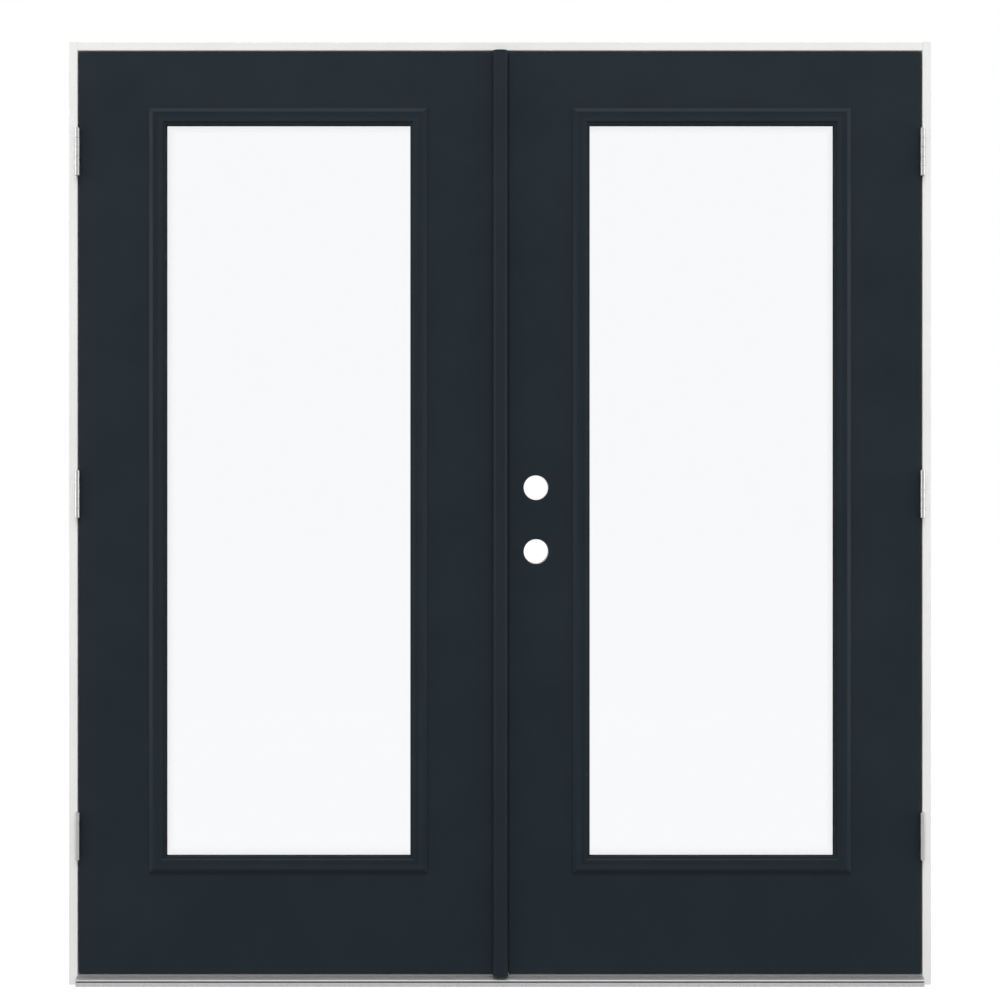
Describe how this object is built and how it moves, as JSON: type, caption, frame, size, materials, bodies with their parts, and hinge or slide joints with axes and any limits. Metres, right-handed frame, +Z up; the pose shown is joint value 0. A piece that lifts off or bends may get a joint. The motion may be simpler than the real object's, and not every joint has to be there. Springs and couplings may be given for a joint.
{
  "type": "french doors",
  "caption": "Pair of outward-opening glazed doors hung on butt hinges in a primed frame, with an astragal, flush bolts and an aluminium sill.",
  "frame": {"origin": "on the floor under the sill, in the middle of the width of the unit and of the depth of the jambs", "axes": "+X to the right seen from outside, +Y from the outside to the inside, +Z up"},
  "size_m": [1.881, 0.139, 2.056],
  "materials": {
    "primed_frame": "smooth white primer, satin",
    "sill_base": "grey composite board",
    "sill_deck": "mill finish, drawn along its length",
    "seals": "black foam and vinyl",
    "leaf_skins": "dark slate paint on moulded skins",
    "leaf_edges": "dark slate paint on timber edges",
    "lite_frames": "dark slate, moulded",
    "astragal": "dark slate paint",
    "foam_core": "rigid foam",
    "lock_block": "raw timber",
    "glass": "clear float glass",
    "spacers": "dark warm-edge bar",
    "hinges": "satin nickel",
    "screws": "zinc plated",
    "bolts": "zinc plated",
    "strikes": "satin nickel"
  },
  "bodies": {
    "frame": {"left_jamb": "primed_frame", "right_jamb": "primed_frame", "head_jamb": "primed_frame", "sill_base": "sill_base", "sill_deck": "sill_deck", "threshold_seal": "seals", "left_weatherstrip": "seals", "right_weatherstrip": "seals", "head_weatherstrip": "seals", "left_top_jamb_leaf": "hinges", "left_middle_jamb_leaf": "hinges", "left_bottom_jamb_leaf": "hinges", "right_top_jamb_leaf": "hinges", "right_middle_jamb_leaf": "hinges", "right_bottom_jamb_leaf": "hinges", "hinge_pins": "hinges", "jamb_hinge_screws": "screws"},
    "passive_leaf": {"passive_exterior_skin": "leaf_skins", "passive_interior_skin": "leaf_skins", "passive_hinge_stile": "leaf_edges", "passive_lock_stile": "leaf_edges", "passive_top_rail": "leaf_edges", "passive_bottom_rail": "leaf_edges", "passive_core": "foam_core", "passive_exterior_lite_frame": "lite_frames", "passive_interior_lite_frame": "lite_frames", "passive_outer_pane": "glass", "passive_inner_pane": "glass", "passive_spacer": "spacers", "passive_sweep": "seals", "passive_top_hinge_leaf": "hinges", "passive_middle_hinge_leaf": "hinges", "passive_bottom_hinge_leaf": "hinges", "passive_hinge_screws": "screws", "passive_lite_screws": "screws", "astragal": "astragal", "astragal_seal": "seals", "latch_strike": "strikes", "deadbolt_strike": "strikes"},
    "active_leaf": {"active_exterior_skin": "leaf_skins", "active_interior_skin": "leaf_skins", "active_hinge_stile": "leaf_edges", "active_lock_stile": "leaf_edges", "active_lock_block": "lock_block", "active_top_rail": "leaf_edges", "active_bottom_rail": "leaf_edges", "active_core": "foam_core", "active_exterior_lite_frame": "lite_frames", "active_interior_lite_frame": "lite_frames", "active_outer_pane": "glass", "active_inner_pane": "glass", "active_spacer": "spacers", "active_sweep": "seals", "active_top_hinge_leaf": "hinges", "active_middle_hinge_leaf": "hinges", "active_bottom_hinge_leaf": "hinges", "active_hinge_screws": "screws", "active_lite_screws": "screws"},
    "top_bolt": {"top_flush_bolt": "bolts"},
    "bottom_bolt": {"bottom_flush_bolt": "bolts"}
  },
  "joints": [
    {"name": "active_swing", "type": "hinge", "parent": "frame", "child": "active_leaf", "pos_m": [0.91985, -0.065, 0], "axis": [0, 0, 1], "range_deg": [0, 170]},
    {"name": "passive_swing", "type": "hinge", "parent": "frame", "child": "passive_leaf", "pos_m": [-0.91985, -0.065, 0], "axis": [0, 0, -1], "range_deg": [0, 170]},
    {"name": "top_bolt_slide", "type": "slide", "parent": "passive_leaf", "child": "top_bolt", "axis": [0, 0, 1], "range_m": [0, 0.019]},
    {"name": "bottom_bolt_slide", "type": "slide", "parent": "passive_leaf", "child": "bottom_bolt", "axis": [0, 0, -1], "range_m": [0, 0.019]}
  ]
}
